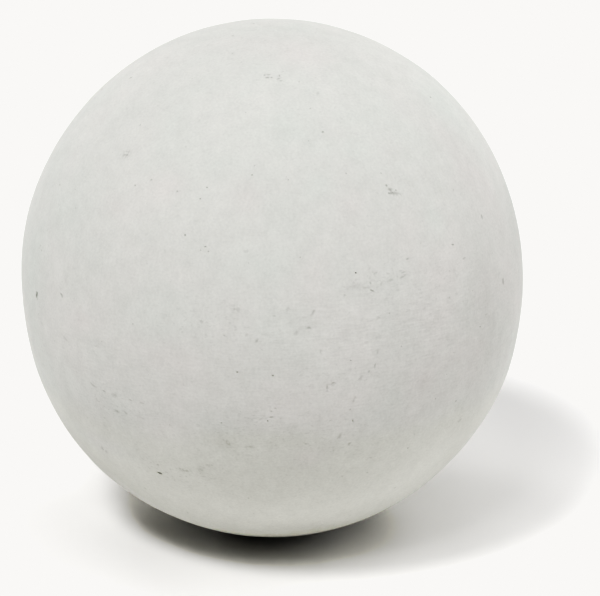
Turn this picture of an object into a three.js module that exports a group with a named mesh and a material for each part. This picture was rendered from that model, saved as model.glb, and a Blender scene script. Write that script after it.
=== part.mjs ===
// A garden ball cast in concrete: one solid ball that stands on a small flat ground into its underside.
// Millimetres, +Z up. The origin is the centre of the flat, on the ground, and -Y is the front.
// A hand-finished casting is a little out of round. The ball is therefore a few millimetres taller and
// narrower than it is deep, and broad swells and flattened places of about a millimetre lie over it.

import * as THREE from "three";

// Driving dimensions
const BALL_DIAMETER = 400; // the size that the ball is sold by, and its measure from front to back
const NARROWER = 6; // how much less it measures from left to right
const TALLER = 7; // how much more it measures from bottom to top, before the flat is ground off it
const FLAT_DIAMETER = 70; // of the circle in which the ground would cut the bare ball
const FLAT_EDGE_RADIUS = 30; // of the soft turn from the flat into the ball
const SWELL_CLEARANCE = 45; // out from the flat's circle, the width in which the swells fade in

// How finely the round form is faceted
const FACETS_AROUND = 88;
const FACETS_UP = 42;
const EDGE_FACETS = 2;

// The swells, each a smooth hump of that height in millimetres, or a flattened place where it is negative.
// Its centre is given in degrees: azimuth from the front towards the right, elevation above the middle.
// The reach is the angle, in degrees, at which about three fifths of the height is left.
const SWELLS = [
  { azimuth: -87, elevation: -7, height: -1.4, reach: 7.5 }, // worn left side
  { azimuth: -96, elevation: 17, height: 1.0, reach: 6.5 }, // left shoulder
  { azimuth: -72, elevation: -40, height: 1.1, reach: 11 }, // left hip
  { azimuth: 93, elevation: 9, height: -0.7, reach: 17 }, // flattened right side
  { azimuth: 80, elevation: -25, height: 1.1, reach: 8 }, // right hip
  { azimuth: 108, elevation: 40, height: 0.9, reach: 15 }, // right shoulder
  { azimuth: 14, elevation: -12, height: 0.5, reach: 24 }, // front belly
  { azimuth: 172, elevation: 12, height: -1.2, reach: 14 }, // flattened back
  { azimuth: -150, elevation: -25, height: 1.0, reach: 16 }, // back hip
];

// The round form is turned as a true ball of this radius, and then drawn out to its width and height.
const TURNED_RADIUS = BALL_DIAMETER / 2;
const FLAT_RADIUS = FLAT_DIAMETER / 2;
const TURNED_CENTRE = Math.sqrt(TURNED_RADIUS ** 2 - FLAT_RADIUS ** 2);
const WIDEN = (BALL_DIAMETER - NARROWER) / BALL_DIAMETER;
const HEIGHTEN = (BALL_DIAMETER + TALLER) / BALL_DIAMETER;

// The turned half section, from the middle of the flat to the top: the flat, the soft turn as an arc
// that touches the flat and, from inside, the round, and then the round itself.
function halfSection() {
  const turnHeight = TURNED_CENTRE - FLAT_EDGE_RADIUS;
  const turnOut = Math.sqrt((TURNED_RADIUS - FLAT_EDGE_RADIUS) ** 2 - turnHeight ** 2);
  const turnAngle = Math.atan2(turnOut, turnHeight);
  const points = [new THREE.Vector2(0, 0)];
  for (let i = 0; i < EDGE_FACETS; i++) {
    const angle = (turnAngle * i) / EDGE_FACETS;
    const out = turnOut + FLAT_EDGE_RADIUS * Math.sin(angle);
    const up = FLAT_EDGE_RADIUS * (1 - Math.cos(angle));
    points.push(new THREE.Vector2(out, up));
  }
  for (let i = 0; i < FACETS_UP; i++) {
    const angle = turnAngle + ((Math.PI - turnAngle) * i) / FACETS_UP;
    const out = TURNED_RADIUS * Math.sin(angle);
    const up = TURNED_CENTRE - TURNED_RADIUS * Math.cos(angle);
    points.push(new THREE.Vector2(out, up));
  }
  points.push(new THREE.Vector2(0, TURNED_CENTRE + TURNED_RADIUS));
  return points;
}

// The unit vector at an azimuth from the front and an elevation above the middle, both in degrees.
function direction(azimuth, elevation) {
  const a = THREE.MathUtils.degToRad(azimuth);
  const e = THREE.MathUtils.degToRad(elevation);
  return new THREE.Vector3(Math.sin(a) * Math.cos(e), -Math.cos(a) * Math.cos(e), Math.sin(e));
}

// How far the casting stands out from the even round form, in a direction from its centre.
function swellAt(outward) {
  return SWELLS.reduce((sum, swell) => {
    const reach = THREE.MathUtils.degToRad(swell.reach);
    const across = outward.dot(direction(swell.azimuth, swell.elevation));
    return sum + swell.height * Math.exp((across - 1) / reach ** 2);
  }, 0);
}

// Moves each point along its line from the ball's centre by the swell there. Nothing moves on the
// flat or its soft turn, and a swell has its whole height once it is SWELL_CLEARANCE away from them.
function castUnevenly(geometry) {
  const centre = new THREE.Vector3(0, 0, TURNED_CENTRE * HEIGHTEN);
  const flatAngle = Math.asin(FLAT_RADIUS / TURNED_RADIUS);
  const clearAngle = Math.asin((FLAT_RADIUS + SWELL_CLEARANCE) / TURNED_RADIUS);
  const position = geometry.getAttribute("position");
  const point = new THREE.Vector3();
  for (let i = 0; i < position.count; i++) {
    point.fromBufferAttribute(position, i);
    const outward = point.clone().sub(centre).normalize();
    const fromBelow = Math.acos(THREE.MathUtils.clamp(-outward.z, -1, 1));
    const share = THREE.MathUtils.smoothstep(fromBelow, flatAngle, clearAngle);
    point.addScaledVector(outward, share * swellAt(outward));
    position.setXYZ(i, point.x, point.y, point.z);
  }
  return geometry;
}

function makeBall() {
  const concrete = new THREE.MeshStandardMaterial({ color: 0xc9c9c3, roughness: 0.88, metalness: 0 });
  const round = new THREE.LatheGeometry(halfSection(), FACETS_AROUND);
  round.rotateX(Math.PI / 2);
  round.scale(WIDEN, 1, HEIGHTEN);
  const ball = new THREE.Mesh(castUnevenly(round), concrete);
  ball.name = "concrete_ball";
  return ball;
}

const gardenBall = new THREE.Group();
gardenBall.add(makeBall());

export default gardenBall;
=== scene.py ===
"""A garden ball cast in concrete, on a pale floor under soft studio light.

The ball is one solid piece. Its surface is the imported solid's own round form, worked out again on a fine
grid, with the slight waves of the casting, the air holes, the nicks and the chips cut into it as real
relief. Lengths are in millimetres up to the moment they go into a mesh, which is in metres.
"""

import logging
import math
from dataclasses import dataclass, field
from enum import Enum
from typing import Any

import bpy
import numpy as np
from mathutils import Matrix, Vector


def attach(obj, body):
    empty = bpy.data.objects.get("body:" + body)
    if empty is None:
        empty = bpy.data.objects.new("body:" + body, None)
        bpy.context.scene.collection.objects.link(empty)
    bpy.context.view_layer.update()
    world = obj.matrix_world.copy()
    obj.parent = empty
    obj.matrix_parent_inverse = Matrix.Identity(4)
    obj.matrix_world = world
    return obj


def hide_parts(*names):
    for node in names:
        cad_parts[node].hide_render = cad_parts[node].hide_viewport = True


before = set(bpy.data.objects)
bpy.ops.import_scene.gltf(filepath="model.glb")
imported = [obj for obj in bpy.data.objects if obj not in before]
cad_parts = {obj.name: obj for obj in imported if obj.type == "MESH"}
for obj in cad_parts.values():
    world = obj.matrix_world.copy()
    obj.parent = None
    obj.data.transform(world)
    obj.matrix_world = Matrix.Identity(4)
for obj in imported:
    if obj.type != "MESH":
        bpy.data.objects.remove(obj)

log = logging.getLogger("garden_ball")

MM = 0.001  # metres in a millimetre
CAST_NODE = "concrete_ball"  # the solid that the dressed ball stands for
MERGE_STEPS = 1e7  # in a unit length: corners that fall on the same step are one corner
NOISE_MIDDLE = 0.5  # about which a noise texture swings
MIX_SHARE, MIX_FIRST, MIX_SECOND, MIX_RESULT = 0, 6, 7, 2  # the sockets of a mix of colours

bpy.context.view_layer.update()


def linear(hex_colour: str) -> tuple[float, float, float, float]:
    """Turn an sRGB hex colour into the linear colour that a shader takes.

    Args:
        hex_colour: Six hex digits after a hash, such as "#c9c9c3".

    Returns:
        Red, green, blue and a full alpha.
    """
    steps = [int(hex_colour[i : i + 2], 16) / 255 for i in (1, 3, 5)]
    parts = [s / 12.92 if s <= 0.04045 else ((s + 0.055) / 1.055) ** 2.4 for s in steps]
    return (*parts, 1.0)


def add_node(
    tree: bpy.types.NodeTree, kind: str, inputs: dict[str | int, Any] | None = None, **settings: Any
) -> bpy.types.Node:
    """Add one node with its settings, its values and its links.

    Args:
        tree: The node tree that it goes into.
        kind: The node's type name.
        inputs: A value, or a socket to link from, for each named or numbered input.
        **settings: The node's own settings, such as operation="ADD".

    Returns:
        The node.
    """
    node = tree.nodes.new(kind)
    for name, value in settings.items():
        setattr(node, name, value)
    for key, value in (inputs or {}).items():
        if isinstance(value, bpy.types.NodeSocket):
            tree.links.new(value, node.inputs[key])
        else:
            node.inputs[key].default_value = value
    return node


def calculate(
    tree: bpy.types.NodeTree, operation: str, *values: Any, clamped: bool = False
) -> bpy.types.NodeSocket:
    """Add one step of arithmetic, such as "ADD", on values or sockets, and give its socket."""
    inputs = dict(enumerate(values))
    return add_node(tree, "ShaderNodeMath", inputs, operation=operation, use_clamp=clamped).outputs[0]


def mix_colours(tree: bpy.types.NodeTree, share: Any, first: Any, second: Any) -> bpy.types.NodeSocket:
    """Add a mix of two colours, by the share of the second, and give its socket."""
    inputs = {MIX_SHARE: share, MIX_FIRST: first, MIX_SECOND: second}
    return add_node(tree, "ShaderNodeMix", inputs, data_type="RGBA").outputs[MIX_RESULT]


def scale_colour(tree: bpy.types.NodeTree, colour: Any, share: Any) -> bpy.types.NodeSocket:
    """Add a node that makes a colour lighter or darker by a share, and give its socket."""
    inputs = {0: colour, "Scale": share}
    return add_node(tree, "ShaderNodeVectorMath", inputs, operation="SCALE").outputs[0]


def smooth_range(tree: bpy.types.NodeTree, value: Any, low: float, high: float) -> bpy.types.NodeSocket:
    """Add a smooth step, 0 below low and 1 above high, and give its socket."""
    inputs = {0: value, 1: low, 2: high}
    return add_node(tree, "ShaderNodeMapRange", inputs, interpolation_type="SMOOTHSTEP").outputs[0]


def outward(azimuth: float, elevation: float) -> np.ndarray:
    """Give the unit vector at an azimuth from the front and an elevation above the middle.

    Args:
        azimuth: Degrees from the front, which is -Y, towards the right.
        elevation: Degrees above the ball's middle.

    Returns:
        The direction (sin a cos e, -cos a cos e, sin e).
    """
    a, e = math.radians(azimuth), math.radians(elevation)
    return np.array([math.sin(a) * math.cos(e), -math.cos(a) * math.cos(e), math.sin(e)])


def smoothstep(values: np.ndarray, low: float, high: float) -> np.ndarray:
    """Give 0 below low, 1 above high and 3t^2 - 2t^3 between them."""
    t = np.clip((values - low) / (high - low), 0.0, 1.0)
    return t * t * (3.0 - 2.0 * t)


@dataclass(frozen=True)
class Swell:
    """A broad smooth hump of the casting, or a flattened place where its height is negative.

    Its height falls off as exp((cos t - 1) / reach^2), where t is the angle from its centre.
    """

    azimuth: float
    elevation: float
    height: float
    reach: float

    def over(self, directions: np.ndarray) -> np.ndarray:
        """Give the swell's height in millimetres in each direction."""
        across = directions @ outward(self.azimuth, self.elevation)
        return self.height * np.exp((across - 1.0) / math.radians(self.reach) ** 2)


@dataclass
class RoundForm:
    """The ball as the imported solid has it: its round, its ground flat and its swells, in millimetres."""

    diameter: float = 400.0
    narrower: float = 6.0
    taller: float = 7.0
    flat_diameter: float = 70.0
    flat_edge_radius: float = 30.0
    swell_clearance: float = 45.0
    swells: tuple[Swell, ...] = (
        Swell(-87, -7, -1.4, 7.5),
        Swell(-96, 17, 1.0, 6.5),
        Swell(-72, -40, 1.1, 11),
        Swell(93, 9, -0.7, 17),
        Swell(80, -25, 1.1, 8),
        Swell(108, 40, 0.9, 15),
        Swell(14, -12, 0.5, 24),
        Swell(172, 12, -1.2, 14),
        Swell(-150, -25, 1.0, 16),
    )

    @property
    def turned_radius(self) -> float:
        """Give the radius of the true ball from which the round is drawn out."""
        return self.diameter / 2

    @property
    def turned_centre(self) -> float:
        """Give the height of the true ball's centre over its flat."""
        return math.sqrt(self.turned_radius**2 - (self.flat_diameter / 2) ** 2)

    @property
    def stretch(self) -> np.ndarray:
        """Give the factors that draw the true ball out to its width, depth and height."""
        return 1.0 + np.array([-self.narrower, 0.0, self.taller]) / self.diameter

    @property
    def centre(self) -> np.ndarray:
        """Give the ball's centre, over the middle of its flat."""
        return np.array([0.0, 0.0, self.turned_centre * self.stretch[2]])

    def turned_distance(self, from_below: np.ndarray) -> np.ndarray:
        """Give the true ball's distance from its centre to its surface.

        It is the plane of the flat, C / cos a, up to the flat's edge, then the soft turn, an arc of
        radius e about a point at the distance c, which is c cos d + sqrt(e^2 - c^2 sin^2 d), where d
        is the angle from the arc's end, and then the ball's own radius.

        Args:
            from_below: The angle a between each direction and straight down, in radians.

        Returns:
            The distances in millimetres.
        """
        edge = self.flat_edge_radius
        turn_height = self.turned_centre - edge
        turn_distance = self.turned_radius - edge
        turn_out = math.sqrt(turn_distance**2 - turn_height**2)
        turn_angle = math.atan2(turn_out, turn_height)
        flat_angle = math.atan2(turn_out, self.turned_centre)
        plane = self.turned_centre / np.cos(np.minimum(from_below, flat_angle))
        swing = np.clip(from_below, flat_angle, turn_angle) - turn_angle
        arc = turn_distance * np.cos(swing) + np.sqrt(edge**2 - (turn_distance * np.sin(swing)) ** 2)
        inner = np.where(from_below <= flat_angle, plane, arc)
        return np.where(from_below >= turn_angle, self.turned_radius, inner)

    def clear_of_flat(self, directions: np.ndarray) -> np.ndarray:
        """Give how far all relief has faded in, from 0 at the flat to 1 at the swell clearance.

        Args:
            directions: Unit vectors, one a row.

        Returns:
            The smoothstep of each direction's angle from straight down.
        """
        from_below = np.arccos(np.clip(-directions[:, 2], -1.0, 1.0))
        flat_radius = self.flat_diameter / 2
        flat_angle = math.asin(flat_radius / self.turned_radius)
        clear_angle = math.asin((flat_radius + self.swell_clearance) / self.turned_radius)
        return smoothstep(from_below, flat_angle, clear_angle)

    def distance(self, directions: np.ndarray) -> np.ndarray:
        """Give the distance from the centre to the cast surface.

        A direction d of the drawn-out ball is d / stretch on the true ball, so the true ball's
        distance is divided by the length of d / stretch, and the faded swells are added.

        Args:
            directions: Unit vectors, one a row.

        Returns:
            The distances in millimetres.
        """
        turned = directions / self.stretch
        length = np.linalg.norm(turned, axis=1)
        from_below = np.arccos(np.clip(-turned[:, 2] / length, -1.0, 1.0))
        swell = sum(s.over(directions) for s in self.swells)
        return self.turned_distance(from_below) / length + self.clear_of_flat(directions) * swell


@dataclass(frozen=True)
class Ripple:
    """Seeded unevenness in space: a sum of plane waves of mixed lengths, headings and phases."""

    shortest: float
    longest: float
    waves: int
    seed: int

    def at(self, points: np.ndarray) -> np.ndarray:
        """Give the ripple at each point: the sum of cos(k.p + phase), scaled to a spread of about 1.

        Args:
            points: Places in millimetres, one a row.

        Returns:
            One value a point, mostly between -2 and 2.
        """
        rng = np.random.default_rng(self.seed)
        headings = rng.normal(size=(self.waves, 3))
        headings /= np.linalg.norm(headings, axis=1, keepdims=True)
        lengths = self.shortest * (self.longest / self.shortest) ** rng.random(self.waves)
        phases = rng.random(self.waves) * math.tau
        total = np.zeros(len(points))
        for heading, length, phase in zip(headings, lengths, phases):
            total += np.cos(points @ heading * (math.tau / length) + phase)
        return total * math.sqrt(2.0 / self.waves)


class Kind(Enum):
    """What made a mark: each has its own section."""

    PINHOLE = "an air bubble that opened in the skin: a small bowl"
    NICK = "a cut or a drag line: a shallow groove with tapered ends"
    CHIP = "skin that broke away: an uneven hollow with a crumbled floor"
    SMUDGE = "dirt rubbed into the face, with no relief"


# The marks' sections, in shares of their half length and width, and of their depth or of their darkening
# by dirt and painted shade
HOLE_FULL = 0.8  # the depth from which a pinhole's dirt and painted shade are whole
NICK_BED, NICK_FRAY = 0.1, 0.2  # where its bed ends, and how far the crumble moves its edge
CHIP_BED, CHIP_FRAY = 0.5, 0.4
CHIP_FLOOR, CHIP_DIRT_AND_SHADE = 0.2, 0.3  # how far the crumble roughens its floor and its darkening by dirt and painted shade
SMUDGE_BLOTCH = 0.45  # how far the crumble breaks up a smudge


@dataclass(frozen=True)
class Mark:
    """One small mark on the ball's face, in degrees and millimetres.

    The lean is the angle of its long axis from the level, anticlockwise as seen from outside, and the
    grime_and_pit_shade is how much of it is dark with dirt, and with painted shade in its hollows.
    """

    kind: Kind
    azimuth: float
    elevation: float
    length: float
    width: float
    lean: float = 0.0
    depth: float = 0.5
    grime_and_pit_shade: float = 0.6

    def local(self, directions: np.ndarray, radius: float) -> tuple[np.ndarray, np.ndarray]:
        """Give each direction's place along and across the mark.

        The place is the direction's share along the mark's level and upright tangents, times the
        ball's radius, turned by the lean.

        Args:
            directions: Unit vectors, one a row.
            radius: The ball's radius.

        Returns:
            The places in millimetres along the long axis, and across it.
        """
        a, e = math.radians(self.azimuth), math.radians(self.elevation)
        level = np.array([math.cos(a), math.sin(a), 0.0])
        upright = np.array([-math.sin(a) * math.sin(e), math.cos(a) * math.sin(e), math.cos(e)])
        x, y = radius * (directions @ level), radius * (directions @ upright)
        turn = math.radians(self.lean)
        return x * math.cos(turn) + y * math.sin(turn), y * math.cos(turn) - x * math.sin(turn)

    def around(self, directions: np.ndarray, radius: float, margin: float) -> np.ndarray:
        """Find the directions that lie within the mark's outline and a margin around it.

        Args:
            directions: Unit vectors, one a row.
            radius: The ball's radius.
            margin: Millimetres added on every side.

        Returns:
            Their row numbers.
        """
        reach = math.hypot(self.length, self.width) / 2 + 2 * margin
        facing = directions @ outward(self.azimuth, self.elevation)
        close = np.flatnonzero(facing > math.cos(reach / radius))
        along, across = self.local(directions[close], radius)
        inside = (np.abs(along) < self.length / 2 + margin) & (np.abs(across) < self.width / 2 + margin)
        return close[inside]

    def cut(
        self, directions: np.ndarray, radius: float, crumble: np.ndarray
    ) -> tuple[np.ndarray, np.ndarray]:
        """Give the mark's depth and its darkening by dirt and painted shade in each direction.

        With q the distance from its centre as a share of the half length and half width, a pinhole is
        sqrt(1 - q^2) deep, a nick 1 - smoothstep(q), and a chip is the same with its edge and its floor
        roughened by the crumble. Dirt, with painted shade in the hollows, fills what is deep, and a smudge
        is exp(-2 q^2) of dirt alone, in the crumble's blotches.

        Args:
            directions: Unit vectors, one a row.
            radius: The ball's radius.
            crumble: Fine unevenness, of about -1 to 1, in each direction.

        Returns:
            The depths in millimetres, and the darkening by dirt and painted shade from 0 to 1.
        """
        along, across = self.local(directions, radius)
        share = np.hypot(along / (self.length / 2), across / (self.width / 2))
        if self.kind is Kind.PINHOLE:
            form = np.sqrt(np.clip(1.0 - share**2, 0.0, 1.0))
            return self.depth * form, self.grime_and_pit_shade * smoothstep(form, 0.0, HOLE_FULL)
        if self.kind is Kind.NICK:
            form = 1.0 - smoothstep(share * (1.0 + NICK_FRAY * crumble), NICK_BED, 1.0)
            return self.depth * form, self.grime_and_pit_shade * form
        if self.kind is Kind.CHIP:
            form = 1.0 - smoothstep(share * (1.0 + CHIP_FRAY * crumble), CHIP_BED, 1.0)
            floor = 1.0 - CHIP_FLOOR + CHIP_FLOOR * crumble
            # the chip's darkening, dirt with painted shade in its hollow, roughened by the crumble
            dirt = 1.0 - CHIP_DIRT_AND_SHADE + CHIP_DIRT_AND_SHADE * crumble
            return self.depth * form * floor, self.grime_and_pit_shade * form * dirt
        blotches = np.clip(1.0 - SMUDGE_BLOTCH + SMUDGE_BLOTCH * crumble, 0.0, None)
        return np.zeros(len(share)), self.grime_and_pit_shade * blotches * np.exp(-2.0 * share**2)


HOLE, NICK, CHIP, SMUDGE = Kind.PINHOLE, Kind.NICK, Kind.CHIP, Kind.SMUDGE

AIR_HOLES = (
    # the holes that show from across a garden, most of them only a millimetre or two wide
    Mark(HOLE, 18.2, 18.2, 1.2, 0.9, 167, 0.9, 0.85),
    Mark(HOLE, -29.5, -31.1, 4.4, 2, 161, 1.2, 0.52),
    Mark(HOLE, -64.3, 4.5, 5.8, 3, 80, 1.2, 0.7),
    Mark(HOLE, -52.5, 7.6, 4.8, 2.2, 152, 0.8, 0.3),
    Mark(HOLE, 0, -2.3, 1.7, 1.2, 0, 0.7, 0.34),
    Mark(HOLE, -0.3, -11.9, 3, 1.3, 0, 0.6, 0.17),
    Mark(HOLE, -1.1, -12.8, 1.3, 1, 90, 0.6, 0.4),
    Mark(HOLE, -7.3, -1.7, 1.5, 1.1, 0, 0.6, 0.38),
    Mark(HOLE, -20.2, 25.9, 1.6, 0.9, 98, 0.6, 0.52),
    Mark(HOLE, 17.3, -14, 2.5, 1, 111, 0.5, 0.26),
    Mark(HOLE, 16, 48.9, 1.9, 1.5, 0, 0.6, 0.28),
    Mark(HOLE, 62, 7.8, 5.6, 2.4, 90, 0.8, 0.28),
    # the small ones
    Mark(HOLE, 45.2, -15.3, 1.3, 1.1, 0, 0.5, 0.5),
    Mark(HOLE, 50.8, 0.7, 1.3, 1.2, 0, 0.5, 0.45),
    Mark(HOLE, 33.3, -24.6, 1.2, 1, 0, 0.5, 0.5),
    Mark(HOLE, -5.3, 39.4, 1.3, 1, 0, 0.5, 0.38),
    Mark(HOLE, -16.7, 36.2, 1.2, 1, 0, 0.5, 0.5),
    Mark(HOLE, -17.9, 33.7, 1.2, 0.9, 0, 0.5, 0.55),
    Mark(HOLE, -15.1, 23.9, 1.7, 1, 20, 0.5, 0.3),
    Mark(HOLE, -14.3, 23, 1.3, 1.1, 0, 0.4, 0.26),
    Mark(HOLE, -16.1, 23.1, 1.2, 1, 0, 0.4, 0.22),
    Mark(HOLE, 44.7, 20.1, 2.8, 1.3, 169, 0.5, 0.28),
    Mark(HOLE, -37, 34.6, 1.3, 1.1, 0, 0.4, 0.34),
    Mark(HOLE, -32.7, 36.4, 2, 1.6, 0, 0.3, 0.12),
    Mark(HOLE, 58.5, 23.2, 4.4, 2.6, 92, 0.5, 0.2),
    Mark(HOLE, -24.4, 34.7, 1.7, 1.5, 0, 0.4, 0.18),
    Mark(HOLE, 16.2, 0.1, 1.2, 1, 0, 0.4, 0.35),
    Mark(HOLE, -0.4, -10.5, 1.9, 1.6, 0, 0.4, 0.15),
    Mark(HOLE, 0.5, -9.8, 1.7, 1.4, 0, 0.4, 0.15),
    Mark(HOLE, -11, -13.7, 1.2, 1, 0, 0.4, 0.3),
    Mark(HOLE, -6.5, -36.2, 1.4, 1.2, 0, 0.4, 0.32),
    Mark(HOLE, 16.9, -29.7, 2, 1.7, 0, 0.3, 0.12),
    Mark(HOLE, 23.5, -29.7, 2, 1.7, 0, 0.3, 0.14),
    Mark(HOLE, -51.4, 79.3, 2.6, 2, 0, 0.4, 0.16),
)

CHIPS = (
    # the broken corner on the right shoulder
    Mark(CHIP, 31.4, 33.5, 8.6, 2.6, 166, 0.9, 0.5),
    Mark(CHIP, 30.9, 34.2, 4.4, 2.8, 120, 0.8, 0.48),
    Mark(HOLE, 30.2, 35.3, 2, 1.6, 120, 0.5, 0.3),
    Mark(HOLE, 30.2, 33.6, 1.8, 1.4, 0, 0.5, 0.34),
    Mark(HOLE, 32.4, 34, 1.6, 1.2, 0, 0.4, 0.2),
    # crumbled places by the middle and in the dark band below it
    Mark(CHIP, 12.5, -4.7, 4.6, 3.8, 61, 0.4, 0.32),
    Mark(CHIP, 11.2, -5.5, 5.2, 1.7, 96, 0.4, 0.28),
    Mark(CHIP, 41, 9.4, 3.8, 2.6, 20, 0.4, 0.24),
    Mark(CHIP, 9.8, 2.6, 3.4, 2, 96, 0.3, 0.17),
    Mark(CHIP, 15.3, 13.9, 2.3, 1.8, 0, 0.3, 0.28),
    Mark(CHIP, 22.6, 8.4, 2.6, 2.2, 0, 0.3, 0.3),
    Mark(CHIP, -10, 6, 2.6, 2, 131, 0.3, 0.18),
    Mark(CHIP, -14.9, 8.6, 4.2, 2.6, 128, 0.3, 0.26),
    # the dent on the outline, low on the left
    Mark(CHIP, -63, -39.2, 8, 4, 50, 0.8, 0.1),
)

NICKS = (
    # the long drag line right of the middle, with its deep end and the scuffs that carry on from it
    Mark(NICK, 17.6, 15.4, 19, 5, 177, 0.2, 0.14),
    Mark(NICK, 20.2, 14.9, 11, 2.6, 174, 0.3, 0.14),
    Mark(NICK, 21.5, 14.2, 5.2, 1.8, 156, 0.5, 0.38),
    Mark(NICK, 17.5, 16.2, 3.4, 1.6, 95, 0.3, 0.13),
    Mark(NICK, 21.3, 15.7, 3, 1.5, 98, 0.4, 0.22),
    Mark(NICK, 23.8, 15.3, 5, 2.2, 61, 0.3, 0.16),
    Mark(NICK, 26.2, 15.7, 9.4, 2.4, 8, 0.3, 0.17),
    Mark(NICK, 29.2, 16, 6.4, 2, 14, 0.3, 0.15),
    Mark(NICK, 29.6, 16.9, 5, 1.6, 8, 0.3, 0.12),
    Mark(NICK, 22.7, 17.6, 4.2, 1.8, 5, 0.3, 0.18),
    Mark(NICK, 31.1, 19.5, 3.4, 1.8, 15, 0.3, 0.26),
    # ticks left of it
    Mark(NICK, 8.4, 10.8, 9, 2.6, 66, 0.4, 0.26),
    Mark(NICK, 7.4, 7.6, 7, 2.4, 178, 0.5, 0.28),
    Mark(NICK, 4.8, 6.7, 5.6, 3.2, 60, 0.3, 0.13),
    Mark(NICK, -3.3, 5.1, 4.8, 2.6, 41, 0.3, 0.26),
    Mark(NICK, -5.4, 6.4, 3.4, 2.6, 0, 0.3, 0.16),
    Mark(NICK, 3.1, 11.8, 5.2, 3.2, 71, 0.2, 0.12),
    Mark(NICK, 0.4, 10.3, 3.2, 2.4, 0, 0.3, 0.19),
    # the broken line that runs down right of the middle
    Mark(NICK, 22.1, 1.1, 5, 2.2, 75, 0.3, 0.18),
    Mark(NICK, 21.6, -1.6, 5.2, 1.9, 76, 0.3, 0.24),
    Mark(NICK, 20.2, -2.9, 3.6, 1.8, 62, 0.3, 0.26),
    Mark(NICK, 18.4, -4.2, 8.4, 3.6, 68, 0.3, 0.17),
    Mark(NICK, 17.2, -8.9, 9.2, 2.8, 65, 0.3, 0.17),
    Mark(NICK, 16.5, -11.1, 2.6, 1.7, 65, 0.3, 0.28),
    Mark(NICK, 14.7, -17.6, 9, 4, 69, 0.4, 0.18),
    Mark(NICK, 17.2, -19.9, 6.8, 2.8, 58, 0.3, 0.22),
    # the dirty scrape below the middle
    Mark(NICK, -2.6, -12.4, 7, 2.2, 34, 0.3, 0.12),
    # the dabbed scratches low on the left
    Mark(NICK, -42.7, -10.4, 9, 2.8, 160, 0.3, 0.22),
    Mark(NICK, -39.4, -11, 6, 2, 163, 0.3, 0.22),
    Mark(NICK, -36.4, -11.2, 8, 4.2, 165, 0.3, 0.19),
    Mark(NICK, -32.2, -11.4, 5, 1.8, 170, 0.3, 0.26),
    Mark(NICK, -36.7, -15.3, 8.2, 4.4, 165, 0.3, 0.2),
    Mark(NICK, -34.2, -15, 5, 2.6, 150, 0.3, 0.26),
    Mark(NICK, -30, -15.4, 5, 1.8, 172, 0.2, 0.08),
    Mark(NICK, -51, -1.6, 14, 1.7, 158, 0.3, 0.12),
    Mark(NICK, -61.5, -1.2, 12, 1.9, 152, 0.3, 0.12),
    # fine ticks side by side near the top
    Mark(NICK, -3.5, 65.2, 2.6, 1.9, 0, 0.3, 0.34),
    Mark(NICK, -1.7, 65.3, 4.2, 2.1, 5, 0.3, 0.36),
    Mark(NICK, -2.3, 64.4, 4.4, 2.4, 5, 0.3, 0.4),
    Mark(NICK, -0.2, 64.4, 2.6, 2, 0, 0.3, 0.42),
    Mark(NICK, 3.7, 65, 3.6, 1.7, 100, 0.3, 0.34),
    Mark(NICK, 3.1, 64, 4.8, 1.8, 10, 0.3, 0.28),
    Mark(NICK, 4.2, 63.3, 3.2, 2, 0, 0.3, 0.32),
    Mark(NICK, 5.6, 66.3, 4, 1.5, 0, 0.2, 0.14),
)

SMUDGES = (
    Mark(SMUDGE, -7.6, 11.7, 9, 8, 120, 0, 0.24),
    Mark(SMUDGE, -44.5, 40.8, 10, 8, 20, 0, 0.34),
    Mark(SMUDGE, -22, -28.3, 14, 5.4, 179, 0, 0.32),
    Mark(SMUDGE, -17.3, -27.3, 8, 5, 63, 0, 0.3),
    Mark(SMUDGE, -14.6, -25.7, 6.5, 3.4, 40, 0, 0.18),
    Mark(SMUDGE, -10.1, -18.7, 11, 4.5, 135, 0, 0.24),
    Mark(SMUDGE, -5.1, -19.4, 7, 5, 156, 0, 0.13),
    Mark(SMUDGE, -46.9, -28.8, 9, 6, 134, 0, 0.34),
    Mark(SMUDGE, 49.4, -21.6, 8, 5, 60, 0, 0.3),
    Mark(SMUDGE, 17.9, 15.3, 24, 7.5, 177, 0, 0.12),
)


@dataclass(frozen=True)
class Patch:
    """A broad soft stain or pale place, exp(-(x/a)^2 - (y/b)^2) of its half width and half height.

    The tone is how much lighter it is, as a share, where the cement is stained and where light and shade
    are painted on, and the tint runs from green below 0 to pink above.
    Where a group stands for drag lines, specks or damp, the tone is how strong they are.
    """

    azimuth: float
    elevation: float
    half_width: float
    half_height: float
    tone: float
    tint: float = 0.0

    def over(self, directions: np.ndarray, radius: float) -> np.ndarray:
        """Give the patch's share in each direction, by the same tangents as a mark's.

        Args:
            directions: Unit vectors, one a row.
            radius: The ball's radius.

        Returns:
            The shares from 0 to 1.
        """
        place = Mark(SMUDGE, self.azimuth, self.elevation, 1, 1)
        x, y = place.local(directions, radius)
        facing = directions @ outward(self.azimuth, self.elevation) > 0
        return facing * np.exp(-((x / self.half_width) ** 2) - (y / self.half_height) ** 2)


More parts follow.
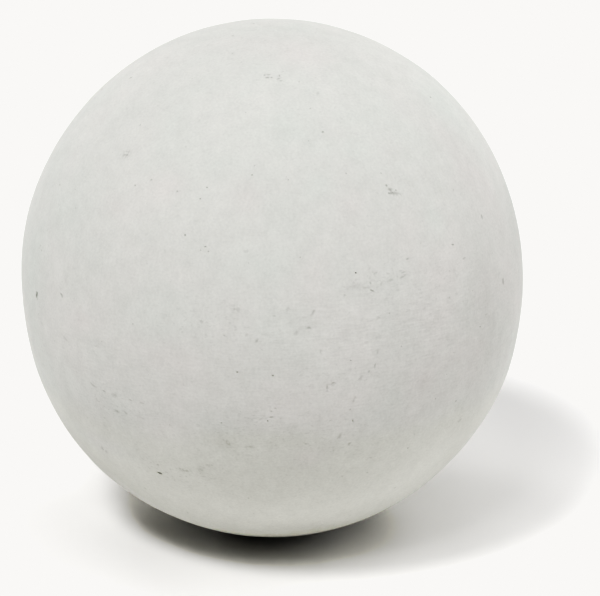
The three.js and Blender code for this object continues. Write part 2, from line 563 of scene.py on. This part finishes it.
PATCHES = (
    # the broad run of tone, mostly painted light and shade: lighter above where the top light falls, grey
    # over the belly where the lights give out, lighter at the foot where the floor's light bounces up,
    # darker towards the edges and just above the floor
    Patch(-12, 44, 95, 80, 0.034, -0.2),
    Patch(-5, 62, 90, 55, 0.026, -0.05),
    Patch(-24, 32, 50, 56, 0.022),
    Patch(45, 52, 55, 45, 0.007),
    Patch(-4, -9, 150, 46, -0.044, 0.12),
    Patch(-8, 0, 90, 30, -0.012),
    Patch(30, 6, 60, 50, -0.031, 0.15),
    Patch(0, -43, 170, 27, 0.095, -0.3),
    Patch(-36, -18, 62, 28, -0.045, 0.1),
    Patch(42, -26, 32, 30, 0.022),
    Patch(-52, -24, 32, 26, -0.036, 0.05),
    Patch(-12, -27.5, 80, 14, -0.034),
    Patch(-68, 12, 30, 80, -0.055, -0.2),
    Patch(62, 38, 28, 60, -0.044, 0.35),
    Patch(56, -24, 22, 32, -0.050),
    Patch(14, -54, 44, 12, -0.068),
    Patch(-46, -14, 22, 18, 0.016),
    Patch(4, -17, 18, 12, -0.018),
    Patch(-78, 20, 20, 50, -0.014),
    Patch(80, 24, 26, 54, -0.018),
    # the dark band below the middle: a darker stain of the cement, deepened by painted shade where the
    # front light gives out above the floor's bounce
    Patch(-4, -18.5, 52, 22, -0.055, -0.1),
    Patch(-9.4, -18, 16, 10, -0.042, -0.2),
    Patch(2.6, -16.4, 34, 13, -0.014, -0.05),
    Patch(7, -22.5, 14, 11, -0.015, 0.55),
    Patch(12.5, -20, 12, 8, -0.020, 0.1),
    # the smaller clouds
    Patch(7.5, 20.1, 14, 16, -0.018, 0.25),
    Patch(53.4, 9.3, 18, 46, -0.034, 0.2),
    Patch(-58.7, 11.2, 14, 30, -0.016, 0.1),
    Patch(-44.4, 3.9, 11, 9, -0.012, 0.3),
    Patch(25.1, 51.8, 16, 11, -0.014, -0.1),
    Patch(35.4, 42.8, 12, 10, -0.012, 0.1),
    Patch(19.1, 32.2, 12, 11, -0.012, 0.3),
    Patch(-6.2, 34.4, 12, 13, -0.012, 0.35),
    Patch(-26.8, 35.9, 13, 11, -0.012, 0.35),
    Patch(-44.7, 52.8, 9, 8, -0.014, 0.1),
    Patch(-40.4, 29.7, 12, 10, -0.012, 0.3),
    Patch(36.4, 21.6, 13, 12, -0.012, -0.15),
    Patch(32, -6.8, 15, 14, -0.012, 0.1),
    Patch(-22.8, 0.2, 30, 12, -0.010, 0.2),
    Patch(10.2, 80, 30, 12, -0.012, 0.1),
    Patch(41.2, 26.1, 9, 16, 0.012, -0.4),
    Patch(24.9, 45.1, 12, 10, 0.010, -0.25),
    Patch(11.7, 36.9, 13, 11, 0.010, -0.35),
    Patch(45.1, -30.4, 30, 22, 0.014, -0.25),
    Patch(-30, 18, 26, 30, 0.004, -0.2),
    # hue alone
    Patch(3.3, 37.2, 55, 20, 0, 0.28),
    Patch(-24.5, 22.4, 40, 34, 0, 0.24),
    Patch(23.5, 23.4, 40, 34, 0, 0.2),
    Patch(-1.6, 21.7, 30, 18, 0, -0.35),
    Patch(-0.5, 9.5, 16, 14, 0, -0.25),
    Patch(6.5, 14, 20, 22, 0, 0.28),
    Patch(-40, 12, 24, 20, 0, 0.24),
    Patch(11, -2, 26, 20, 0, -0.22),
    Patch(-8, -19, 70, 9, 0, 0.1),
    Patch(26.1, 71.5, 24, 20, 0, 0.4),
    Patch(48, 43.4, 28, 28, 0, -0.2),
    Patch(76, 50, 40, 38, 0, -0.38),
    Patch(-66, 15, 26, 40, 0, -0.3),
    Patch(-31, 21, 18, 30, 0, 0.25),
    Patch(66, 25, 24, 40, 0, 0.3),
    Patch(-24, 44, 18, 18, 0, 0.22),
    # the sides that the photograph doesn't show, in keeping
    Patch(160, 15, 45, 30, -0.020, 0.2),
    Patch(-140, -20, 50, 22, -0.024, -0.2),
    Patch(120, -15, 40, 20, -0.020, 0.1),
    Patch(-120, 30, 30, 26, 0.012, -0.25),
)

STAINED = (
    # where the yellow of the damp foot reaches up
    Patch(-9, -18, 30, 8, 0.8),
    Patch(4, -17.5, 30, 8, 0.6),
    Patch(26, -20, 30, 6, 0.4),
    Patch(46, -21, 16, 12, 0.7),
    # and where it stays below
    Patch(-48, -27, 40, 11, -0.8),
    Patch(8, -23.5, 12, 8, -0.5),
)

DRAGGED = (
    # where the float was drawn round the ball and left level lines
    Patch(24, 6, 105, 42, 1),
    Patch(-40, -4, 60, 24, 0.5),
    Patch(0, -16, 200, 45, 0.4),
    Patch(140, 2, 120, 45, 1),
    Patch(-130, -8, 90, 35, 0.8),
)

SCUFFED = (
    # where the skin is rubbed open, and fine dirt sits in it as specks
    Patch(24, 17.5, 24, 9, 0.35),  # along and above the drag line
    Patch(36, 12, 40, 20, 0.35),
    Patch(12, -3, 34, 14, 0.35),
    Patch(-2, -13.5, 30, 12, 0.45),  # in the dark band
    Patch(-8, -20, 34, 9, 0.3),
    Patch(10, -19, 26, 12, 0.3),
    Patch(-38, -13, 26, 12, 0.6),
    Patch(-24, -30, 34, 10, 0.7),
    Patch(-12, 8, 40, 14, 0.4),
    Patch(150, 10, 60, 18, 0.8),
    Patch(-140, -15, 60, 16, 0.8),
)


@dataclass(frozen=True)
class Scatter:
    """Marks strewn by chance: how many, of what kind, between which sizes, and where."""

    kind: Kind
    count: int
    shortest: float
    longest: float
    depth: float
    grime_and_pit_shade: float
    front_too: bool
    seed: int
    lowest: float = -66.0  # degrees of elevation, above the flat and its soft edge
    face: float = 68.0  # degrees of azimuth to each side that the placed marks take up
    hole_slimness: tuple[float, float] = (0.55, 0.95)  # a hole's width as a share of its length
    cut_slimness: tuple[float, float] = (0.3, 0.5)  # the same of a nick or a chip
    faintest: float = 0.5  # the least share of the depth and the darkening by dirt and painted shade

    def marks(self) -> list[Mark]:
        """Strew the marks evenly over the ball, by level height and azimuth, most of them small.

        Returns:
            The marks, in a fixed order.
        """
        rng = np.random.default_rng(self.seed)
        strewn: list[Mark] = []
        while len(strewn) < self.count:
            azimuth = rng.uniform(-180, 180)
            elevation = math.degrees(math.asin(rng.uniform(-1, 1)))
            small = rng.random() ** 2
            length = self.shortest + (self.longest - self.shortest) * small
            slim = rng.uniform(*(self.hole_slimness if self.kind is HOLE else self.cut_slimness))
            lean = rng.uniform(0, 180)
            share = rng.uniform(self.faintest, 1.0)
            if elevation < self.lowest or (abs(azimuth) < self.face and not self.front_too):
                continue
            depth, grime_and_pit_shade = self.depth * share, self.grime_and_pit_shade * share
            strewn.append(Mark(self.kind, azimuth, elevation, length, length * slim, lean, depth, grime_and_pit_shade))
        return strewn


SCATTERS = (
    Scatter(HOLE, 170, 1.0, 1.8, 0.30, 0.26, True, 11),
    Scatter(HOLE, 26, 1.2, 3.6, 0.90, 0.55, False, 12),
    Scatter(NICK, 70, 2.5, 6.0, 0.30, 0.20, True, 13),
    Scatter(NICK, 22, 4.0, 13.0, 0.40, 0.26, False, 14),
    Scatter(CHIP, 26, 2.0, 4.5, 0.30, 0.26, True, 15),
    Scatter(CHIP, 4, 4.0, 7.5, 0.80, 0.38, False, 16),
)


@dataclass
class BallGrid:
    """A grid of triangles over all directions from the ball's centre, finer where it is asked to be.

    It starts as a cube blown up round. On each of the cube's faces the two parameters u and v run from
    -45 to 45 degrees, and a corner's direction is (tan u, tan v, 1), turned to that face.
    """

    cells_across: int
    directions: np.ndarray = field(init=False)
    triangles: np.ndarray = field(init=False)

    def __post_init__(self) -> None:
        """Lay the six faces and merge the corners along their borders."""
        steps = np.tan(np.linspace(-math.pi / 4, math.pi / 4, self.cells_across + 1))
        u, v = (s.ravel() for s in np.meshgrid(steps, steps, indexing="ij"))
        ahead = np.stack([u, v, np.ones_like(u)], axis=1)
        behind = ahead * (1.0, -1.0, -1.0)
        faces = [np.roll(face, turn, axis=1) for face in (ahead, behind) for turn in range(3)]
        corners = np.concatenate(faces)
        corners /= np.linalg.norm(corners, axis=1, keepdims=True)
        keys = np.round(corners * MERGE_STEPS).astype(np.int64)
        _, first, merged = np.unique(keys, axis=0, return_index=True, return_inverse=True)
        number = np.arange(len(u)).reshape(self.cells_across + 1, -1)
        a, b = number[:-1, :-1].ravel(), number[1:, :-1].ravel()
        c, d = number[1:, 1:].ravel(), number[:-1, 1:].ravel()
        face = np.concatenate([np.stack([a, b, c], axis=1), np.stack([a, c, d], axis=1)])
        self.directions = corners[first]
        self.triangles = merged.ravel()[np.concatenate([face + len(u) * k for k in range(6)])]

    def refine(self, marks: list[Mark], radius: float, margin: float) -> None:
        """Halve the edges near the marks, and cut each triangle by how many of its edges were halved.

        Four triangles come from three halved edges, three from two and two from one, so the grid stays
        closed. Each triangle is first turned so that its halved edges come first.

        Args:
            marks: The marks to be near.
            radius: The ball's radius.
            margin: How far round a mark the edges are halved.
        """
        sides = np.sort(self.triangles[:, [[0, 1], [1, 2], [2, 0]]], axis=2).reshape(-1, 2)
        keys, of_side = np.unique(sides @ [len(self.directions), 1], return_inverse=True)
        ends = np.stack(np.divmod(keys, len(self.directions)), axis=1)
        middles = self.directions[ends].sum(axis=1)
        middles /= np.linalg.norm(middles, axis=1, keepdims=True)
        halved = np.zeros(len(ends), bool)
        for mark in marks:
            halved[mark.around(middles, radius, margin)] = True
        number = np.where(halved, len(self.directions) + np.cumsum(halved) - 1, -1)
        middle = number[of_side].reshape(-1, 3)
        count = (middle >= 0).sum(axis=1)
        odd_one = np.where(count == 1, middle.argmax(axis=1), (middle.argmin(axis=1) + 1) % 3)
        turned = (np.arange(3) + np.where(count % 3 > 0, odd_one, 0)[:, None]) % 3
        a, b, c = np.take_along_axis(self.triangles, turned, axis=1).T
        ab, bc, ca = np.take_along_axis(middle, turned, axis=1).T
        cuts = {
            0: ((a, b, c),),
            1: ((a, ab, c), (ab, b, c)),
            2: ((ab, b, bc), (a, ab, bc), (a, bc, c)),
            3: ((a, ab, ca), (ab, b, bc), (ca, bc, c), (ab, bc, ca)),
        }
        parts = [np.stack(corners, axis=1)[count == n] for n, cut in cuts.items() for corners in cut]
        self.triangles = np.concatenate(parts)
        self.directions = np.concatenate([self.directions, middles[halved]])


@dataclass(frozen=True)
class Layer:
    """One layer of a finish's pattern: noise of a real size, drawn out along the axes.

    The swing is how far the finish gets lighter and darker with it, as a share of its colour.
    """

    size: float
    stretch: tuple[float, float, float]
    detail: float
    swing: float

    def noise(self, tree: bpy.types.NodeTree, place: bpy.types.NodeSocket) -> bpy.types.NodeSocket:
        """Add the layer's noise on object coordinates.

        Args:
            tree: The material's node tree.
            place: The object coordinates, in metres.

        Returns:
            The noise's output, from 0 to 1.
        """
        squeeze = tuple(1.0 / s for s in self.stretch)
        mapping = add_node(tree, "ShaderNodeMapping", {"Vector": place, "Scale": squeeze})
        inputs = {"Vector": mapping.outputs[0], "Scale": 1.0 / (self.size * MM), "Detail": self.detail}
        return add_node(tree, "ShaderNodeTexNoise", inputs).outputs[0]


@dataclass(frozen=True)
class CastConcrete:
    """Grey cement and fine sand, cast in a smooth mould and rubbed down: matt, cloudy and even.

    The clouds and mottles are where the cement dried unevenly, the streaks are water run down the
    mould, the level lines are a float's, and the foot is yellowed by damp. A grain of sand is under a
    millimetre, too fine to show, so the grain is drawn at about twice its size.
    """

    name: str = "cast_concrete"
    green_grey: str = "#cdd0cb"
    pink_grey: str = "#d2cfcc"
    yellow_grey: str = "#d1d1cb"
    # the dark colour of the dirt in the marks, which also stands for painted shade in the holes and cuts
    dirt: str = "#34332f"
    roughness: float = 0.88
    diffuse_roughness: float = 0.3
    shine: float = 0.25
    clouds: Layer = Layer(60, (1, 1, 1), 3, 0.075)
    mottles: Layer = Layer(12, (1, 1, 1), 5, 0.150)
    streaks: Layer = Layer(3.4, (1, 1, 5), 2, 0.050)
    grain: Layer = Layer(1.8, (1, 1, 1), 3, 0.200)
    level_lines: Layer = Layer(1.5, (7, 7, 1), 2, 0.230)
    specks: Layer = Layer(1.6, (2.2, 2.2, 1), 1, 0.140)
    speck_range: tuple[float, float] = (0.59, 0.71)  # of its noise, from a speck's edge to its full tone
    hue_swing: float = 1.2
    grain_height: float = 0.10  # millimetres
    line_height: float = 0.14

    def material(self) -> bpy.types.Material:
        """Make the material: hue from the clouds, yellow at the foot, tone from all layers with painted
        light and shade, dirt and painted shade in cuts.

        Returns:
            The material, which reads the attributes tone, tint, damp, drag, scuff and grime_and_pit_shade.
        """
        made = bpy.data.materials.new(self.name)
        made.use_nodes = True
        tree = made.node_tree
        place = add_node(tree, "ShaderNodeTexCoord").outputs["Object"]
        tone, tint, damp, drag, scuff, grime_and_pit_shade = (
            add_node(tree, "ShaderNodeAttribute", attribute_name=name).outputs["Fac"]
            for name in ("tone", "tint", "damp", "drag", "scuff", "grime_and_pit_shade")
        )
        layers = (self.clouds, self.mottles, self.streaks, self.grain, self.level_lines, self.specks)
        clouds, mottles, streaks, grain, lines, specks = (layer.noise(tree, place) for layer in layers)
        dragged = calculate(tree, "MULTIPLY", calculate(tree, "SUBTRACT", lines, NOISE_MIDDLE), drag)
        specked = calculate(tree, "MULTIPLY", smooth_range(tree, specks, *self.speck_range), scuff)
        everywhere = (
            (clouds, self.clouds.swing),
            (mottles, self.mottles.swing),
            (streaks, self.streaks.swing),
            (grain, self.grain.swing),
        )
        in_places = ((dragged, self.level_lines.swing), (specked, -self.specks.swing))
        # the tone carries the cement's clouds and the painted light and shade of the broad patches
        lightness = tone
        for source, swing in everywhere + in_places:
            lightness = calculate(tree, "MULTIPLY_ADD", source, swing, lightness)
        level = 1.0 - sum(swing for _, swing in everywhere) * NOISE_MIDDLE
        lightness = calculate(tree, "ADD", lightness, level)
        hue = calculate(tree, "MULTIPLY_ADD", clouds, self.hue_swing, tint)
        hue = calculate(tree, "SUBTRACT", hue, (self.hue_swing - 1) * NOISE_MIDDLE, clamped=True)
        cement = mix_colours(tree, hue, linear(self.green_grey), linear(self.pink_grey))
        cement = mix_colours(tree, damp, cement, linear(self.yellow_grey))
        toned = scale_colour(tree, cement, lightness)
        # the marks darken towards the dark colour: dirt, and painted shade in the holes and cuts
        colour = mix_colours(tree, grime_and_pit_shade, toned, linear(self.dirt))
        line_share = self.line_height / self.grain_height
        height = calculate(tree, "MULTIPLY_ADD", dragged, line_share, grain)
        inputs = {"Height": height, "Distance": self.grain_height * MM, "Strength": 1.0}
        bump = add_node(tree, "ShaderNodeBump", inputs).outputs[0]
        shader = tree.nodes["Principled BSDF"]
        shader.inputs["Roughness"].default_value = self.roughness
        shader.inputs["Diffuse Roughness"].default_value = self.diffuse_roughness
        shader.inputs["Specular IOR Level"].default_value = self.shine
        tree.links.new(colour, shader.inputs["Base Color"])
        tree.links.new(bump, shader.inputs["Normal"])
        return made


@dataclass
class GardenBall:
    """The cast ball: its round form, its relief, its stain patches with painted light and shade, and its
    finish.
    """

    form: RoundForm = field(default_factory=RoundForm)
    finish: CastConcrete = field(default_factory=CastConcrete)
    cells_across: int = 64
    margins: tuple[float, ...] = (4.0, 2.0, 0.9)  # of each finer level round a mark
    fine_margin: float = 0.3  # of the finest, round the small marks alone
    fine_width: float = 2.0  # up to which a mark is a small one
    skin: float = 0.25  # how far the rubbed skin lies inside the solid's round
    wave_height: float = 0.07
    least_scuff: float = 0.25  # the strength of the specks away from the scuffs
    damp_rise: tuple[float, float] = (118.0, 150.0)  # the heights between which the damp fades out
    waves: Ripple = Ripple(28, 75, 40, 3)
    wave_limit: float = 3.0
    crumble: Ripple = Ripple(1.6, 4.0, 30, 4)
    crumble_limit: float = 1.5
    name: str = "cast_ball"

    def build(self) -> bpy.types.Object:
        """Make the ball's mesh, with its relief and its attributes, and dress it.

        Returns:
            The ball, at the origin, with its place in its mesh.
        """
        marks = [*AIR_HOLES, *CHIPS, *NICKS, *SMUDGES]
        for scatter in SCATTERS:
            marks += scatter.marks()
        grid = self.refined_grid(marks)
        depth, grime_and_pit_shade = self.relief(grid.directions, marks)
        points = self.surface(grid.directions, depth)
        mesh = bpy.data.meshes.new(self.name)
        mesh.from_pydata((points * MM).astype(np.float32), [], grid.triangles)
        mesh.polygons.foreach_set("use_smooth", np.ones(len(mesh.polygons), bool))
        stains_and_painted_light = self.stains_and_painted_light(grid.directions, points[:, 2])
        for name, values in {**stains_and_painted_light, "grime_and_pit_shade": grime_and_pit_shade}.items():
            attribute = mesh.attributes.new(name, "FLOAT", "POINT")
            attribute.data.foreach_set("value", values.astype(np.float32))
        mesh.materials.append(self.finish.material())
        ball = bpy.data.objects.new(self.name, mesh)
        bpy.context.scene.collection.objects.link(ball)
        log.info("%s: %d marks, %d triangles", self.name, len(marks), len(grid.triangles))
        return ball

    def refined_grid(self, marks: list[Mark]) -> BallGrid:
        """Make the grid, finer in steps round all marks and finest round the small ones."""
        radius = self.form.turned_radius
        grid = BallGrid(self.cells_across)
        for margin in self.margins:
            grid.refine(marks, radius, margin)
        grid.refine([m for m in marks if m.width <= self.fine_width], radius, self.fine_margin)
        return grid

    def surface(self, directions: np.ndarray, depth: np.ndarray) -> np.ndarray:
        """Give the skin's points: the solid's round, less the rubbed skin, its waves and the marks.

        Args:
            directions: Unit vectors, one a row.
            depth: The marks' depth in each direction.

        Returns:
            The points in millimetres, none of them below the floor.
        """
        waves = self.waves.at(directions * self.form.turned_radius)
        waves = np.clip(waves, -self.wave_limit, self.wave_limit)
        clear = self.form.clear_of_flat(directions)
        sunk = clear * (self.skin + self.wave_height * waves + depth)
        distance = self.form.distance(directions) - sunk
        points = self.form.centre + directions * distance[:, None]
        points[:, 2] = np.maximum(points[:, 2], 0.0)
        return points

    def stains_and_painted_light(self, directions: np.ndarray, heights: np.ndarray) -> dict[str, np.ndarray]:
        """Add up the patches, painted light and shade among them, into the values that the finish reads.

        Args:
            directions: Unit vectors, one a row.
            heights: The skin's height over the floor in each direction.

        Returns:
            The values of tone, tint, damp, drag and scuff in each direction.
        """
        radius = self.form.turned_radius
        patches = [(p, p.over(directions, radius)) for p in PATCHES]
        drag, scuff, stain = (
            sum(p.tone * p.over(directions, radius) for p in group)
            for group in (DRAGGED, SCUFFED, STAINED)
        )
        damp = 1.0 - smoothstep(heights, *self.damp_rise) + stain
        return {
            # the tone: the cement's clouds, and painted light and shade, lighter on top and at the foot,
            # greyer over the belly, darker to the edges
            "tone": sum(p.tone * share for p, share in patches),
            "tint": sum(p.tint * share for p, share in patches),
            "damp": np.clip(damp, 0.0, 1.0),
            "drag": drag,
            "scuff": self.least_scuff + scuff,
        }

    def relief(self, directions: np.ndarray, marks: list[Mark]) -> tuple[np.ndarray, np.ndarray]:
        """Cut all marks, each only where it reaches, the deepest and darkest winning.

        Args:
            directions: Unit vectors, one a row.
            marks: The marks.

        Returns:
            The depth in millimetres and the darkening by dirt and painted shade in each direction.
        """
        radius = self.form.turned_radius
        depth, grime_and_pit_shade = np.zeros((2, len(directions)))
        for mark in marks:
            near = mark.around(directions, radius, mark.length / 2)
            crumble = self.crumble.at(directions[near] * radius)
            crumble = np.clip(crumble, -self.crumble_limit, self.crumble_limit)
            mark_depth, mark_grime_and_shade = mark.cut(directions[near], radius, crumble)
            depth[near] = np.maximum(depth[near], mark_depth)
            grime_and_pit_shade[near] = np.maximum(grime_and_pit_shade[near], mark_grime_and_shade)
        return depth, grime_and_pit_shade


@dataclass(frozen=True)
class PaperFloor:
    """Matt white paper, rolled out and seamless: it shows only the light and the ball's shadow."""

    name: str = "backdrop_paper"
    colour: str = "#f6f5f4"
    fibre: Layer = Layer(3, (1, 1, 1), 2, 0.006)
    roughness: float = 0.9
    shine: float = 0.2

    def material(self) -> bpy.types.Material:
        """Make the material, with the slight unevenness of the paper's fibre."""
        made = bpy.data.materials.new(self.name)
        made.use_nodes = True
        tree = made.node_tree
        place = add_node(tree, "ShaderNodeTexCoord").outputs["Object"]
        swing = self.fibre.swing
        fibre = self.fibre.noise(tree, place)
        lightness = calculate(tree, "MULTIPLY_ADD", fibre, swing, 1.0 - swing * NOISE_MIDDLE)
        toned = scale_colour(tree, linear(self.colour)[:3], lightness)
        shader = tree.nodes["Principled BSDF"]
        shader.inputs["Roughness"].default_value = self.roughness
        shader.inputs["Specular IOR Level"].default_value = self.shine
        tree.links.new(toned, shader.inputs["Base Color"])
        return made


@dataclass(frozen=True)
class SoftLight:
    """A broad far light, in degrees. The strength is what it adds to a white face turned to it."""

    name: str
    elevation: float
    azimuth: float
    spread: float
    strength: float
    colour: str = "#ffffff"

    def hang(self) -> None:
        """Hang the light so that it shines from its direction towards the ball."""
        lamp = bpy.data.lights.new(self.name, "SUN")
        lamp.energy = math.pi * self.strength
        lamp.angle = math.radians(self.spread)
        lamp.color = linear(self.colour)[:3]
        light = bpy.data.objects.new(self.name, lamp)
        light.rotation_mode = "QUATERNION"
        light.rotation_quaternion = Vector(outward(self.azimuth, self.elevation)).to_track_quat("Z", "Y")
        bpy.context.scene.collection.objects.link(light)


@dataclass
class Studio:
    """The pale floor, the soft lights, the white surround and the picture's tone."""

    floor: PaperFloor = field(default_factory=PaperFloor)
    floor_span: float = 60.0  # metres
    lights: tuple[SoftLight, ...] = (
        SoftLight("key_light", 55.5, -37, 12, 0.50),
        SoftLight("low_key_light", 50, -18, 13, 0.18),
        SoftLight("top_light", 82, 180, 40, 0.16),
        SoftLight("front_right_light", 55, 40, 40, 0.195),
        SoftLight("right_light", 45, 88, 36, 0.10),
        SoftLight("low_right_light", 10, 90, 30, 0.17),
        SoftLight("back_left_light", 55, -135, 20, 0.12),
        SoftLight("back_right_light", 38, 144, 20, 0.10),
        SoftLight("low_back_right_light", 6, 144, 20, 0.34),
        SoftLight("low_back_left_light", 6, -144, 20, 0.34),
    )
    surround: str = "#ffffff"
    surround_strength: float = 1.2  # enough to burn out to the paper's white
    paper_white: tuple[float, float, float] = (0.9473, 0.9387, 0.9216)  # where the paper burns out
    toe_end: float = 0.42  # below this light, the tone falls off as its square
    toe_steps: int = 6

    def build(self) -> None:
        """Lay the floor, hang the lights and set the surround and the tone."""
        half = self.floor_span / 2
        mesh = bpy.data.meshes.new("studio_floor")
        corners = [(-half, -half, 0), (half, -half, 0), (half, half, 0), (-half, half, 0)]
        mesh.from_pydata(corners, [], [range(4)])
        mesh.materials.append(self.floor.material())
        floor = bpy.data.objects.new("studio_floor", mesh)
        bpy.context.scene.collection.objects.link(floor)
        for light in self.lights:
            light.hang()
        self.set_surround()
        self.set_tone()
        log.info("studio: %d lights over %s", len(self.lights), floor.name)

    def set_surround(self) -> None:
        """Show white beyond the floor, without lighting the ball by it."""
        world = bpy.data.worlds.new("surround")
        bpy.context.scene.world = world
        world.use_nodes = True
        tree = world.node_tree
        seen = add_node(tree, "ShaderNodeLightPath").outputs["Is Camera Ray"]
        strength = calculate(tree, "MULTIPLY", seen, self.surround_strength)
        background = tree.nodes["Background"]
        background.inputs["Color"].default_value = linear(self.surround)
        tree.links.new(strength, background.inputs["Strength"])

    def set_tone(self) -> None:
        """Set the picture's tone: straight, with a square toe, x^2 / end, and a cap at the paper's white.

        The toe's points are joined smoothly, and the cap is a sharp corner.
        """
        view = bpy.context.scene.view_settings
        view.view_transform = "Standard"
        view.look = "None"
        view.exposure = 0.0
        view.gamma = 1.0
        view.use_curve_mapping = True
        mapping = view.curve_mapping
        mapping.extend = "HORIZONTAL"
        for curve, white in zip(mapping.curves, self.paper_white):
            curve.points[0].location = (0.0, 0.0)
            curve.points[1].location = (1.0, white)
            for step in range(1, self.toe_steps + 1):
                light = self.toe_end * step / self.toe_steps
                curve.points.new(light, light**2 / self.toe_end)
            corner = curve.points.new(white, white)
            corner.handle_type = "VECTOR"
            curve.points[-1].handle_type = "VECTOR"
        mapping.update()


@dataclass
class Viewpoint:
    """The camera: where it stands, and where the ball lies in a picture of 600 by 596."""

    azimuth: float = 0.0
    elevation: float = 18.0
    distance: float = 2000.0
    picture_width: int = 600
    picture_height: int = 596
    ball_radius_px: float = 255.7
    ball_centre_px: tuple[float, float] = (272.56, 278.2)
    sensor_width: float = 36.0

    def place(self, form: RoundForm) -> None:
        """Set the camera up, and aim it so that the ball lies where the picture has it.

        A ball of radius r at the distance d is seen r / d wide as a sine, which gives the lens. The
        aim is the way to the ball's centre, moved by the centre's offset in the picture.

        Args:
            form: The ball's form, which gives its centre and its size.
        """
        away = Vector(outward(self.azimuth, self.elevation))
        focal = self.ball_radius_px / math.tan(math.asin(form.turned_radius / self.distance))
        data = bpy.data.cameras.new("camera")
        data.sensor_width = self.sensor_width
        data.lens = self.sensor_width * focal / self.picture_width
        camera = bpy.data.objects.new("camera", data)
        bpy.context.scene.collection.objects.link(camera)
        camera.location = (Vector(form.centre) + away * self.distance) * MM
        facing = (-away).to_track_quat("-Z", "Y")
        right, up = facing @ Vector((1, 0, 0)), facing @ Vector((0, 1, 0))
        from_left, from_top = self.ball_centre_px
        aim = -away + right * (self.picture_width / 2 - from_left) / focal
        aim -= up * (self.picture_height / 2 - from_top) / focal
        camera.rotation_mode = "QUATERNION"
        camera.rotation_quaternion = aim.to_track_quat("-Z", "Y")
        bpy.context.scene.camera = camera
        log.info("camera: %.1f mm lens", data.lens)


def main() -> None:
    """Build the ball, the studio and the camera, in that order."""
    logging.basicConfig(level=logging.INFO, format="%(name)s %(message)s")
    ball = GardenBall()
    piece = ball.build()
    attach(piece, "root")
    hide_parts(CAST_NODE)
    Studio().build()
    Viewpoint().place(ball.form)


if __name__ == "__main__":
    main()
